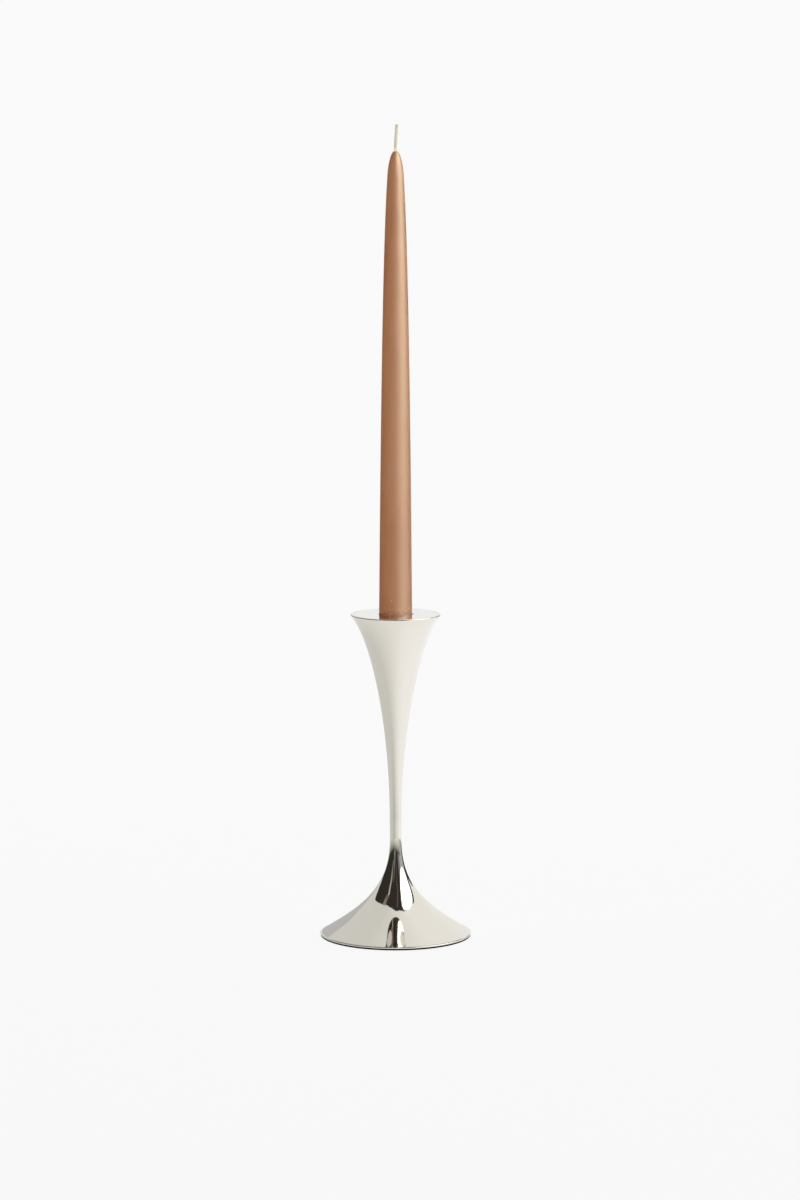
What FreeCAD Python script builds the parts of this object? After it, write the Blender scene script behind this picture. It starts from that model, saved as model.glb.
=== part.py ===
import FreeCAD, Part

import math
import os

from FreeCAD import Vector

# Candlestick with a removable taper candle. Millimetres, +Z up. The origin is on the axis at
# the underside of the pad, on the surface that the candlestick stands on.

# ---- overall sizes
TOP_Z = 214.1            # height of the flat top
FOOT_R = 49.8            # widest radius, at the foot's hem
RIM_R = 29.5             # radius of the bell's rim
WAIST_R = 3.92           # thinnest radius, where foot and stem meet
WAIST_Z = 78.8           # height of that meeting

# ---- foot: outside
FOOT_NECK_HANDLE = 25.9  # how far the waist's upright start pulls the outline down
FOOT_THROAT_IN = 4.81    # middle control point, inside the waist's radius by this much
FOOT_THROAT_Z = 30.74    # and at this height
FOOT_EDGE_HANDLE = 19.2  # how far the edge's slope pulls the outline in
FOOT_EDGE_SLOPE = 32.5   # slope of the flare at its edge, degrees above level
HEM_H = 0.95             # height of the upright band round the edge
HEM_LEDGE = 0.9          # how far that band stands out of the flare
HEM_ROUND = 0.35         # rounding of the band's upper edge
FOOT_BOTTOM_ROUND = 0.2  # rounding of its lower edge

# ---- foot: inside
FOOT_WALL = 2.0          # wall of the casting, square to its surface
FOOT_SEAT_R = 8.3        # radius of the flat seat at the top of the hollow
BASE_PLATE_T = 1.0       # pressed disc that closes the foot
FOOT_LIP = 4.25          # width of the foot's edge left round that disc
BASE_PLATE_SINK = 0.2    # space above it, under the rebate's ceiling

# ---- stem and bell: outside
STEM_HANDLE = 39.0       # how far the waist's upright start pulls the outline up
BELL_THROAT_OUT = 4.85   # middle control point, outside the waist's radius by this much
BELL_THROAT_DROP = 52.5  # and this far below the top
BELL_EDGE_HANDLE = 19.5  # how far the rim's slope pulls the outline down
BELL_EDGE_FLARE = 38.0   # lean of the bell at its rim, degrees from upright
RIM_ROUND = 0.5          # rounding of the rim's edge

# ---- stem and bell: inside
BELL_WALL = 1.6          # wall of the bell, square to its surface
BELL_FLOOR_R = 4.0       # radius of the flat floor of the bell's hollow
TOP_PLATE_T = 1.6        # disc let into the rim
RIM_LAND = 2.1           # width of the rim left round the disc

# ---- candle and its socket
CANDLE_R = 11.0          # radius of a dinner candle's foot
CANDLE_PLAY = 0.3        # room all round the candle in its socket
SOCKET_DEPTH = 20.0      # from the flat top to the cup's floor
SOCKET_WALL = 0.8        # sheet that the cup is drawn from
SOCKET_FLANGE = 3.5      # width of the flange outside the cup
SOCKET_CORNER = 1.2      # inner radius of the cup's bottom corner
SOCKET_MOUTH = 0.5       # chamfer at the mouth of the hole
CANDLE_LENGTH = 320.9    # from its foot to the tip of the wax
CANDLE_SHOULDER_R = 5.25
CANDLE_SHOULDER_DROP = 14.7   # shoulder below the tip
CANDLE_FOOT_TAPER = 0.6       # lean of the candle's side at its foot, degrees
CANDLE_SHOULDER_TAPER = 3.9   # lean at the shoulder, degrees
CANDLE_SIDE_HANDLE = 60.0     # length of both handles of the long side
CANDLE_NOSE_HANDLE = 8.3      # handle of the nose at the shoulder
CANDLE_CROWN_HANDLE = 1.5     # handle of the nose at the wick
COAT_T = 1.0             # dyed wax over the white core

# ---- wick
WICK_R = 1.06
WICK_STRAIGHT = 2.5      # upright stretch above the wax
WICK_BEND_R = 30.0       # radius that its bend follows
WICK_LEAN = 3.5          # lean of the free end, degrees towards +X
WICK_FREE_H = 17.3       # height of the wick's end above the wax, along its length

# ---- tie rod and its fasteners, M4
ROD_R = 2.0              # nominal radius of the thread
ROD_PLAY = 0.15          # clearance in the foot's neck and in the washers
ROD_DEPTH_IN_STEM = 24.0
ROD_HOLE_SPARE = 3.0     # tapped hole deeper than the rod by this much
ROD_TAIL = 2.0           # rod standing out of the nut
ROD_CHAMFER = 0.4
DRILL_POINT = 118.0      # included angle of a drilled hole's end, degrees
WASHER_R = 4.5
WASHER_T = 0.8
SPRING_WASHER_R = 3.8
SPRING_WASHER_T = 0.9
SPRING_WASHER_SPLIT = 0.8
NUT_FLATS = 7.0          # across the flats
NUT_H = 3.2
NUT_CHAMFER_ANGLE = 30.0

# ---- ballast
BALLAST_GAP = 0.5        # room between the ballast and the foot's wall
BALLAST_BORE_R = 9.5     # room for a socket spanner on the nut
BALLAST_TOP_R = 25.0     # radius where its flat top meets its flank
BALLAST_BASE_GAP = 0.2   # room over the base plate
BALLAST_LOW_EDGE = 2.0   # height of its upright rim

# ---- pad
PAD_T = 1.1
PAD_INSET = 0.2          # pad's edge inside the hem

PLATE_FIT = 0.05         # clearance round the two discs

SOCKET_R = CANDLE_R + CANDLE_PLAY
CANDLE_FOOT_CHAMFER = SOCKET_CORNER - CANDLE_PLAY
TOP_PLATE_R = RIM_R - RIM_LAND - PLATE_FIT
BASE_PLATE_R = FOOT_R - FOOT_LIP - PLATE_FIT
SEAT_Z = TOP_Z - TOP_PLATE_T
CANDLE_FOOT_Z = TOP_Z - SOCKET_DEPTH + CANDLE_PLAY
CANDLE_TIP_Z = CANDLE_FOOT_Z + CANDLE_LENGTH
FOOT_REBATE_Z = PAD_T + BASE_PLATE_T + BASE_PLATE_SINK


# ---------------------------------------------------------------- drawing helpers

def at(r, z):
    """Point of a cross-section: radius and height."""
    return Vector(r, 0, z)


def polar(length, degrees):
    """Step of a given length, at an angle from level, as radius and height."""
    angle = math.radians(degrees)
    return at(length * math.cos(angle), length * math.sin(angle))


def line(start, end):
    return Part.LineSegment(start, end).toShape()


def polyline(*points):
    return [line(a, b) for a, b in zip(points, points[1:])]


def arc(centre, radius, start, end):
    """Arc about a centre between two directions in degrees, level being 0."""
    first, middle, last = (centre + polar(radius, a) for a in (start, (start + end) / 2, end))
    return Part.Arc(first, middle, last).toShape()


def bezier(*poles):
    curve = Part.BezierCurve()
    curve.setPoles(list(poles))
    return curve


def inner_point(curve, t, depth):
    """Point at a depth under an outline that runs downwards, square to it."""
    along = curve.tangent(t)[0]
    inward = Vector(along.z, 0, -along.x)
    return curve.value(t) + inward * depth


def find(function, target):
    """Where a function that only rises or only falls between 0 and 1 reaches a target."""
    low, high = 0.0, 1.0
    rising = function(high) > function(low)
    for _ in range(50):
        middle = (low + high) / 2
        if (function(middle) < target) == rising:
            low = middle
        else:
            high = middle
    return (low + high) / 2


def inner_edge(curve, depth, start, end, spans=16):
    """Smooth edge at a constant depth under an outline, between two of its parameters."""
    steps = [start + (end - start) * i / spans for i in range(spans + 1)]
    spline = Part.BSplineCurve()
    spline.interpolate([inner_point(curve, t, depth) for t in steps])
    return spline.toShape()


def turn(edges):
    """Solid of revolution about the Z axis of a closed cross-section."""
    wire = Part.Wire(Part.__sortEdges__(edges))
    solid = Part.Face(wire).revolve(Vector(), Vector(0, 0, 1), 360)
    return Part.Solid(solid.Shells[0]) if solid.ShapeType != "Solid" else solid


def ring(inner, outer, low, high):
    """Plain washer-shaped solid."""
    tube = Part.makeCylinder(outer, high - low, at(0, low))
    return tube.cut(Part.makeCylinder(inner, high - low, at(0, low)))


# ---------------------------------------------------------------- outlines

def foot_outline():
    """Flare of the foot, from the waist down to its hem."""
    edge = at(FOOT_R - HEM_LEDGE, PAD_T + HEM_H)
    slope = polar(FOOT_EDGE_HANDLE, 180 - FOOT_EDGE_SLOPE)
    return bezier(
        at(WAIST_R, WAIST_Z),
        at(WAIST_R, WAIST_Z - FOOT_NECK_HANDLE),
        at(WAIST_R - FOOT_THROAT_IN, FOOT_THROAT_Z),
        edge + slope,
        edge,
    )


def bell_outline():
    """Side of the bell and stem, from the rim's rounding down to the waist."""
    centre = at(RIM_R - RIM_ROUND, TOP_Z - RIM_ROUND)
    edge = centre + polar(RIM_ROUND, -BELL_EDGE_FLARE)
    slope = polar(BELL_EDGE_HANDLE, -90 - BELL_EDGE_FLARE)
    return bezier(
        edge,
        edge + slope,
        at(WAIST_R + BELL_THROAT_OUT, TOP_Z - BELL_THROAT_DROP),
        at(WAIST_R, WAIST_Z + STEM_HANDLE),
        at(WAIST_R, WAIST_Z),
    )


def candle_outlines():
    """Nose of the candle from the wick to its shoulder, then its long side down to its foot."""
    tip = at(WICK_R, CANDLE_TIP_Z)
    shoulder = at(CANDLE_SHOULDER_R, CANDLE_TIP_Z - CANDLE_SHOULDER_DROP)
    foot = at(CANDLE_R, CANDLE_FOOT_Z)
    nose_step = polar(CANDLE_NOSE_HANDLE, 90 + CANDLE_SHOULDER_TAPER)
    side_step = polar(CANDLE_SIDE_HANDLE, -90 + CANDLE_SHOULDER_TAPER)
    foot_step = polar(CANDLE_SIDE_HANDLE, 90 + CANDLE_FOOT_TAPER)
    nose = bezier(tip, tip + at(CANDLE_CROWN_HANDLE, 0), shoulder + nose_step, shoulder)
    side = bezier(shoulder, shoulder + side_step, foot + foot_step, foot)
    return nose, side


# ---------------------------------------------------------------- foot and what is under it

def foot_seat_z():
    """Height of the flat seat at the top of the foot's hollow."""
    outline = foot_outline()
    t = find(lambda s: inner_point(outline, s, FOOT_WALL).x, FOOT_SEAT_R)
    return inner_point(outline, t, FOOT_WALL).z


def foot_shell():
    """Hollow flared foot with a bored neck, an upright hem and a rebate for the base plate."""
    outline = foot_outline()
    seat_t = find(lambda s: inner_point(outline, s, FOOT_WALL).x, FOOT_SEAT_R)
    rebate_t = find(lambda s: inner_point(outline, s, FOOT_WALL).z, FOOT_REBATE_Z)
    seat = inner_point(outline, seat_t, FOOT_WALL)
    ceiling = inner_point(outline, rebate_t, FOOT_WALL)
    hem_top = PAD_T + HEM_H
    bore_r = ROD_R + ROD_PLAY
    rebate_r = BASE_PLATE_R + PLATE_FIT
    upper = at(FOOT_R - HEM_ROUND, hem_top - HEM_ROUND)
    lower = at(FOOT_R - FOOT_BOTTOM_ROUND, PAD_T + FOOT_BOTTOM_ROUND)
    edges = polyline(seat, at(bore_r, seat.z), at(bore_r, WAIST_Z), at(WAIST_R, WAIST_Z))
    edges.append(outline.toShape())
    edges.append(line(at(FOOT_R - HEM_LEDGE, hem_top), at(FOOT_R - HEM_ROUND, hem_top)))
    edges.append(arc(upper, HEM_ROUND, 90, 0))
    edges.append(line(upper + at(HEM_ROUND, 0), lower + at(FOOT_BOTTOM_ROUND, 0)))
    edges.append(arc(lower, FOOT_BOTTOM_ROUND, 0, -90))
    edges += polyline(
        lower - at(0, FOOT_BOTTOM_ROUND),
        at(rebate_r, PAD_T),
        at(rebate_r, FOOT_REBATE_Z),
        ceiling,
    )
    edges.append(inner_edge(outline, FOOT_WALL, rebate_t, seat_t))
    return turn(edges)


def ballast():
    """Cast ring that follows the foot's hollow at a small gap."""
    outline = foot_outline()
    depth = FOOT_WALL + BALLAST_GAP
    low_z = PAD_T + BASE_PLATE_T + BALLAST_BASE_GAP
    top_t = find(lambda s: inner_point(outline, s, depth).x, BALLAST_TOP_R)
    edge_t = find(lambda s: inner_point(outline, s, depth).z, low_z + BALLAST_LOW_EDGE)
    top = inner_point(outline, top_t, depth)
    edge = inner_point(outline, edge_t, depth)
    edges = polyline(
        edge,
        at(edge.x, low_z),
        at(BALLAST_BORE_R, low_z),
        at(BALLAST_BORE_R, top.z),
        top,
    )
    edges.append(inner_edge(outline, depth, top_t, edge_t))
    return turn(edges)


def base_plate():
    """Disc let into the foot's underside."""
    return Part.makeCylinder(BASE_PLATE_R, BASE_PLATE_T, at(0, PAD_T))


def base_pad():
    """Soft pad under the hem and the base plate."""
    return Part.makeCylinder(FOOT_R - PAD_INSET, PAD_T)


# ---------------------------------------------------------------- tie rod and fasteners

def nut_z():
    """Height of the nut's lower face."""
    return foot_seat_z() - WASHER_T - SPRING_WASHER_T - NUT_H


def tie_rod():
    """Threaded rod at its nominal diameter, chamfered at both ends."""
    low = nut_z() - ROD_TAIL
    high = WAIST_Z + ROD_DEPTH_IN_STEM
    tip_r = ROD_R - ROD_CHAMFER
    return turn(polyline(
        at(0, low),
        at(tip_r, low),
        at(ROD_R, low + ROD_CHAMFER),
        at(ROD_R, high - ROD_CHAMFER),
        at(tip_r, high),
        at(0, high),
        at(0, low),
    ))


def tie_rod_washer():
    """Plain washer against the foot's seat."""
    high = foot_seat_z()
    return ring(ROD_R + ROD_PLAY, WASHER_R, high - WASHER_T, high)


def tie_rod_spring_washer():
    """Split spring washer, pressed flat."""
    high = foot_seat_z() - WASHER_T
    washer = ring(ROD_R + ROD_PLAY, SPRING_WASHER_R, high - SPRING_WASHER_T, high)
    corner = Vector(0, -SPRING_WASHER_SPLIT / 2, high - SPRING_WASHER_T)
    split = Part.makeBox(SPRING_WASHER_R + 1, SPRING_WASHER_SPLIT, SPRING_WASHER_T, corner)
    return washer.cut(split)


def tie_rod_nut():
    """Hexagon nut with both faces chamfered."""
    low = nut_z()
    corner_r = NUT_FLATS / 2 / math.cos(math.radians(30))
    corners = [Vector(0, 0, low) + Vector(corner_r * math.cos(a), corner_r * math.sin(a), 0)
               for a in (math.radians(60 * i) for i in range(7))]
    prism = Part.Face(Part.makePolygon(corners)).extrude(Vector(0, 0, NUT_H))
    drop = (corner_r - NUT_FLATS / 2) * math.tan(math.radians(NUT_CHAMFER_ANGLE))
    barrel = turn(polyline(
        at(0, low),
        at(NUT_FLATS / 2, low),
        at(corner_r, low + drop),
        at(corner_r, low + NUT_H - drop),
        at(NUT_FLATS / 2, low + NUT_H),
        at(0, low + NUT_H),
        at(0, low),
    ))
    hole = Part.makeCylinder(ROD_R, NUT_H, at(0, low))
    return prism.common(barrel).cut(hole)


# ---------------------------------------------------------------- stem, bell and top

def stem_bell():
    """Solid stem with a tapped hole below, and a hollow bell with a rebated rim above."""
    outline = bell_outline()
    seat_t = find(lambda s: inner_point(outline, s, BELL_WALL).z, SEAT_Z)
    floor_t = find(lambda s: inner_point(outline, s, BELL_WALL).x, BELL_FLOOR_R)
    seat = inner_point(outline, seat_t, BELL_WALL)
    floor = inner_point(outline, floor_t, BELL_WALL)
    rebate_r = TOP_PLATE_R + PLATE_FIT
    centre = at(RIM_R - RIM_ROUND, TOP_Z - RIM_ROUND)
    hole_z = WAIST_Z + ROD_DEPTH_IN_STEM + ROD_HOLE_SPARE
    point_h = ROD_R / math.tan(math.radians(DRILL_POINT / 2))
    edges = polyline(
        seat,
        at(rebate_r, SEAT_Z),
        at(rebate_r, TOP_Z),
        centre + at(0, RIM_ROUND),
    )
    edges.append(arc(centre, RIM_ROUND, 90, -BELL_EDGE_FLARE))
    edges.append(outline.toShape())
    edges += polyline(
        at(WAIST_R, WAIST_Z),
        at(ROD_R, WAIST_Z),
        at(ROD_R, hole_z),
        at(0, hole_z + point_h),
        at(0, floor.z),
        floor,
    )
    edges.append(inner_edge(outline, BELL_WALL, floor_t, seat_t))
    return turn(edges)


def top_plate():
    """Disc let into the rim, flush with it, with the candle's hole."""
    mouth_r = SOCKET_R + SOCKET_MOUTH
    return turn(polyline(
        at(SOCKET_R, SEAT_Z),
        at(TOP_PLATE_R, SEAT_Z),
        at(TOP_PLATE_R, TOP_Z),
        at(mouth_r, TOP_Z),
        at(SOCKET_R, TOP_Z - SOCKET_MOUTH),
        at(SOCKET_R, SEAT_Z),
    ))


def candle_socket():
    """Drawn cup with a flange, fixed under the top plate."""
    floor_z = TOP_Z - SOCKET_DEPTH
    outer_r = SOCKET_R + SOCKET_WALL
    flange_r = outer_r + SOCKET_FLANGE
    corner = at(SOCKET_R - SOCKET_CORNER, floor_z + SOCKET_CORNER)
    outer_corner = SOCKET_CORNER + SOCKET_WALL
    edges = polyline(
        corner - at(0, SOCKET_CORNER),
        at(0, floor_z),
        at(0, floor_z - SOCKET_WALL),
        corner - at(0, outer_corner),
    )
    edges.append(arc(corner, outer_corner, -90, 0))
    edges += polyline(
        corner + at(outer_corner, 0),
        at(outer_r, SEAT_Z - SOCKET_WALL),
        at(flange_r, SEAT_Z - SOCKET_WALL),
        at(flange_r, SEAT_Z),
        at(SOCKET_R, SEAT_Z),
        corner + at(SOCKET_CORNER, 0),
    )
    edges.append(arc(corner, SOCKET_CORNER, 0, -90))
    return turn(edges)


# ---------------------------------------------------------------- candle

def coat_inner_edges():
    """Surface between dyed coat and white core, and its points at the wick and at the foot."""
    nose, side = candle_outlines()
    wick_t = find(lambda s: inner_point(nose, s, COAT_T).x, WICK_R)
    foot_t = find(lambda s: inner_point(side, s, COAT_T).z, CANDLE_FOOT_Z)
    edges = [inner_edge(nose, COAT_T, wick_t, 1), inner_edge(side, COAT_T, 0, foot_t)]
    return edges, inner_point(nose, wick_t, COAT_T), inner_point(side, foot_t, COAT_T)


def trim_foot(solid):
    """Candle solid with its foot's corner taken off, to clear the cup's rounded corner."""
    reach = 2 * CANDLE_FOOT_CHAMFER
    middle = at(CANDLE_R - CANDLE_FOOT_CHAMFER / 2, CANDLE_FOOT_Z + CANDLE_FOOT_CHAMFER / 2)
    wedge = turn(polyline(
        middle - at(reach, reach),
        middle + at(reach, reach),
        middle + at(reach, -reach),
        middle - at(reach, reach),
    ))
    return solid.cut(wedge)


def candle_colour_coat():
    """Dyed wax round the core, open at the candle's cut foot."""
    nose, side = candle_outlines()
    edges, at_wick, at_foot = coat_inner_edges()
    edges += [nose.toShape(), side.toShape()]
    edges.append(line(at_wick, at(WICK_R, CANDLE_TIP_Z)))
    edges.append(line(at(CANDLE_R, CANDLE_FOOT_Z), at_foot))
    return trim_foot(turn(edges))


def candle_core():
    """White wax between the wick and the dyed coat."""
    edges, at_wick, at_foot = coat_inner_edges()
    edges += polyline(at_foot, at(WICK_R, CANDLE_FOOT_Z), at_wick)
    return trim_foot(turn(edges))


def wick():
    """Wick through the whole candle, with a short upright stretch and a slight lean above it."""
    bend_z = CANDLE_TIP_Z + WICK_STRAIGHT
    upright = Part.makeCylinder(WICK_R, bend_z - CANDLE_FOOT_Z, at(0, CANDLE_FOOT_Z))
    disc = Part.Face(Part.Wire(Part.makeCircle(WICK_R, at(0, bend_z))))
    pivot = at(WICK_BEND_R, bend_z)
    bend = disc.revolve(pivot, Vector(0, 1, 0), WICK_LEAN)
    lean = polar(1, 90 - WICK_LEAN)
    bend_end = pivot + polar(WICK_BEND_R, 180 - WICK_LEAN)
    bend_length = WICK_BEND_R * math.radians(WICK_LEAN)
    rest = WICK_FREE_H - WICK_STRAIGHT - bend_length
    free = Part.makeCylinder(WICK_R, rest, bend_end, lean)
    return upright.fuse([bend, free]).removeSplitter()


# ---------------------------------------------------------------- export

NODES = {
    "foot_shell": foot_shell,
    "ballast": ballast,
    "base_plate": base_plate,
    "base_pad": base_pad,
    "tie_rod": tie_rod,
    "tie_rod_washer": tie_rod_washer,
    "tie_rod_spring_washer": tie_rod_spring_washer,
    "tie_rod_nut": tie_rod_nut,
    "stem_bell": stem_bell,
    "top_plate": top_plate,
    "candle_socket": candle_socket,
    "candle_core": candle_core,
    "candle_colour_coat": candle_colour_coat,
    "wick": wick,
}

os.makedirs("parts", exist_ok=True)
for name, make in NODES.items():
    shape = make()
    if not shape.isValid() or len(shape.Solids) != 1:
        raise ValueError(name + " is not one valid solid")
    shape.exportStep("parts/" + name + ".step")
    print(f"{name}: {shape.Volume / 1000:.2f} cm3, z {shape.BoundBox.ZMin:.2f} to {shape.BoundBox.ZMax:.2f}")
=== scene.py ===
"""Silver candlestick with a dipped taper candle: visible surfaces, finishes, studio and camera.

Sizes are in millimetres in the dataclasses and turned to metres where a mesh is made. Heights come
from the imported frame, so each surface lies where its solid is.
"""

import logging
import math
from dataclasses import dataclass
from enum import Enum

import bpy
import numpy as np
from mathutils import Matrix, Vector


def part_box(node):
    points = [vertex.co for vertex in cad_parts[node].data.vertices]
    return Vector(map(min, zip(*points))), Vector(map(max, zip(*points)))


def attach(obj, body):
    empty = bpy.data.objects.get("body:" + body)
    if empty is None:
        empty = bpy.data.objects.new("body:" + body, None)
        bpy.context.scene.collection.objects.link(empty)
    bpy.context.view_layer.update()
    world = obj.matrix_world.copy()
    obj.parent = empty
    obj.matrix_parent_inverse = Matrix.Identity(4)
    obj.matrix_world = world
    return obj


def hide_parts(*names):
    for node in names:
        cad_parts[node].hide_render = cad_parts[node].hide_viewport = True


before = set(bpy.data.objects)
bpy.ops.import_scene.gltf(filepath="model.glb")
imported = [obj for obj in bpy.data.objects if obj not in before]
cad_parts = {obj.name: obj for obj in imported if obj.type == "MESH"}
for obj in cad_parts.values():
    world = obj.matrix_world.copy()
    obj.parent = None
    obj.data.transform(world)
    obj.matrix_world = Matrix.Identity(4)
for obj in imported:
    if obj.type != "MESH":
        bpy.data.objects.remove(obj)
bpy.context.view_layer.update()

LOG = logging.getLogger("candlestick")
MM = 0.001
WAIST_R = 3.92
Point = tuple[float, float]
Socket = bpy.types.NodeSocket


# ---------------------------------------------------------------- colour and node helpers

def linear(hex_colour: str) -> tuple[float, float, float, float]:
    """Turn an sRGB hex colour to linear RGBA.

    Args:
        hex_colour: six hex digits, with or without a leading #.

    Returns:
        Linear red, green and blue, and an alpha of 1.
    """
    digits = hex_colour.lstrip("#")
    parts = [int(digits[i:i + 2], 16) / 255 for i in (0, 2, 4)]
    red, green, blue = (p / 12.92 if p <= 0.04045 else ((p + 0.055) / 1.055) ** 2.4 for p in parts)
    return (red, green, blue, 1.0)


def add_node(
    tree: bpy.types.NodeTree,
    kind: str,
    settings: dict[str, object] | None = None,
    values: dict[str | int, object] | None = None,
    links: dict[str | int, bpy.types.NodeSocket] | None = None,
) -> bpy.types.Node:
    """Add one node with its settings, socket values and incoming links.

    Args:
        tree: node tree to add to.
        kind: type name of the node, without the ShaderNode prefix.
        settings: attributes of the node.
        values: default values of its inputs, by name or number.
        links: output sockets to join to its inputs, by name or number.

    Returns:
        The new node.
    """
    node = tree.nodes.new("ShaderNode" + kind)
    for name, value in (settings or {}).items():
        setattr(node, name, value)
    for name, value in (values or {}).items():
        node.inputs[name].default_value = value
    for name, socket in (links or {}).items():
        tree.links.new(socket, node.inputs[name])
    return node


def new_material(name: str) -> tuple[bpy.types.Material, bpy.types.NodeTree]:
    """Make an empty node material.

    Args:
        name: name of the material.

    Returns:
        The material and its node tree.
    """
    material = bpy.data.materials.new(name)
    material.use_nodes = True
    material.node_tree.nodes.clear()
    return material, material.node_tree


def finish_material(tree: bpy.types.NodeTree, shader: bpy.types.Node) -> None:
    """Join a shader node to the material's output."""
    add_node(tree, "OutputMaterial", links={"Surface": shader.outputs[0]})


# ---------------------------------------------------------------- surface helpers

def bezier(poles: list[Point], count: int) -> np.ndarray:
    """Points of a Bezier curve: the sum of each pole times its Bernstein polynomial.

    Args:
        poles: radius and height of each control point.
        count: number of points along the curve.

    Returns:
        Array of count rows, each a radius and a height.
    """
    t = np.linspace(0.0, 1.0, count)[:, None]
    degree = len(poles) - 1
    index = np.arange(degree + 1)
    choose = np.array([math.comb(degree, int(i)) for i in index], float)
    weights = choose * (1 - t) ** (degree - index) * t ** index
    return weights @ np.array(poles, float)


def arc(centre: Point, radius: float, start: float, end: float, count: int) -> np.ndarray:
    """Points of a circular arc: the centre plus the radius times cosine and sine of the angle.

    Args:
        centre: radius and height of its centre.
        radius: the arc's own radius.
        start: first direction in degrees, level being 0.
        end: last direction in degrees.
        count: number of points.

    Returns:
        Array of count rows, each a radius and a height.
    """
    angle = np.radians(np.linspace(start, end, count))
    return np.column_stack([centre[0] + radius * np.cos(angle), centre[1] + radius * np.sin(angle)])


def straight(start: Point, end: Point, count: int) -> np.ndarray:
    """Evenly spaced points from start to end, both included."""
    return np.linspace(start, end, count)


def step(length: float, degrees: float) -> np.ndarray:
    """Vector of a given length at an angle from level, as radius and height."""
    angle = math.radians(degrees)
    return np.array([length * math.cos(angle), length * math.sin(angle)])


def profile(*stretches: np.ndarray) -> np.ndarray:
    """Join stretches of a cross-section, leaving out points that repeat the one before.

    Args:
        stretches: radii and heights of each stretch.

    Returns:
        Radii and heights of the whole.
    """
    points = np.vstack(stretches)
    moved = np.linalg.norm(np.diff(points, axis=0), axis=1) > 1e-6
    return points[np.concatenate([[True], moved])]


def mesh_object(name: str, points: np.ndarray, faces: np.ndarray,
                caps: np.ndarray | None = None) -> bpy.types.Object:
    """Put a computed surface into a smooth-shaded mesh object at the origin.

    Args:
        name: name of the object and its mesh.
        points: vertices in metres, one per row.
        faces: corner numbers, one face per row.
        caps: further faces with another number of corners.

    Returns:
        The new object, linked to the scene.
    """
    mesh = bpy.data.meshes.new(name)
    more = [] if caps is None else caps.tolist()
    mesh.from_pydata(points.tolist(), [], faces.tolist() + more)
    mesh.polygons.foreach_set("use_smooth", np.ones(len(mesh.polygons), dtype=bool))
    mesh.set_sharp_from_angle(angle=math.radians(30))
    mesh.update()
    made = bpy.data.objects.new(name, mesh)
    bpy.context.scene.collection.objects.link(made)
    return made


def grid_faces(rows: int, columns: int, wrap_rows: bool = False) -> np.ndarray:
    """Quads of a grid whose columns close on themselves.

    Args:
        rows: points along the profile.
        columns: points round the ring.
        wrap_rows: whether the last row also joins the first.

    Returns:
        Array of four corner numbers per face.
    """
    first = np.arange(rows if wrap_rows else rows - 1)[:, None]
    second = (first + 1) % rows
    here = np.arange(columns)[None, :]
    there = (here + 1) % columns
    corners = [first * columns + here, first * columns + there,
               second * columns + there, second * columns + here]
    return np.stack(corners, axis=-1).reshape(-1, 4)


def fan_faces(rows: int, columns: int) -> np.ndarray:
    """Triangles from two pole points, numbered after the grid, to its first and last rows.

    Args:
        rows: rows of the grid between the poles.
        columns: points in each row.

    Returns:
        Array of three corner numbers per face.
    """
    here = np.arange(columns)
    there = (here + 1) % columns
    low_pole, high_pole = rows * columns, rows * columns + 1
    last = (rows - 1) * columns
    low = np.column_stack([np.full(columns, low_pole), there, here])
    high = np.column_stack([np.full(columns, high_pole), last + here, last + there])
    return np.vstack([low, high])


def lathe(name: str, outline: np.ndarray, around: int) -> bpy.types.Object:
    """Closed solid of revolution: radius times cosine and sine of the turn, and the height.

    The outline is in millimetres and is a closed loop, or runs from the axis to the axis. It runs
    so that the solid is on its left, which points the faces outwards.

    Args:
        name: name of the object.
        outline: radius and height of each point.
        around: number of steps round the axis.

    Returns:
        The turned object.
    """
    axis_ends = outline[0, 0] < 1e-6 and outline[-1, 0] < 1e-6
    rings = outline[1:-1] if axis_ends else outline
    turn = np.linspace(0.0, 2 * math.pi, around, endpoint=False)
    x = rings[:, :1] * np.cos(turn)
    y = rings[:, :1] * np.sin(turn)
    z = rings[:, 1:] + 0 * turn
    points = np.stack([x, y, z], axis=-1).reshape(-1, 3)
    faces = grid_faces(len(rings), around, wrap_rows=not axis_ends)
    caps = None
    if axis_ends:
        points = np.vstack([points, [[0, 0, outline[0, 1]], [0, 0, outline[-1, 1]]]])
        caps = fan_faces(len(rings), around)
    return mesh_object(name, points * MM, faces, caps)


def dress(piece: bpy.types.Object, material: bpy.types.Material, body: str, slot: str,
          *nodes: str) -> bpy.types.Object:
    """Give a piece its material and body, and hide the CAD nodes that it stands for.

    Args:
        piece: the finished object.
        material: material for all its faces.
        body: CAD body that it rides on.
        slot: not used.
        nodes: CAD nodes that it replaces.

    Returns:
        The same object.
    """
    piece.data.materials.append(material)
    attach(piece, body)
    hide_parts(*nodes)
    LOG.info("%s on %s stands for %s", piece.name, body, ", ".join(nodes))
    return piece


def height_range(node: str) -> tuple[float, float]:
    """Lowest and highest height of a CAD node, in millimetres."""
    low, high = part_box(node)
    return low.z / MM, high.z / MM


def widest_radius(node: str) -> float:
    """Radius of a turned CAD node, in millimetres."""
    low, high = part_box(node)
    return (high.x - low.x) / 2 / MM


def inset(outline: np.ndarray, depth: float) -> np.ndarray:
    """Curve at a constant depth inside a cross-section's outline.

    Each point moves square to the outline's own direction, to the left of the way it runs.

    Args:
        outline: radius and height of each point.
        depth: distance to move, in millimetres.

    Returns:
        The moved points.
    """
    along = np.gradient(outline, axis=0)
    along /= np.linalg.norm(along, axis=1)[:, None]
    return outline + depth * np.column_stack([-along[:, 1], along[:, 0]])


# ---------------------------------------------------------------- finishes

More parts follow.
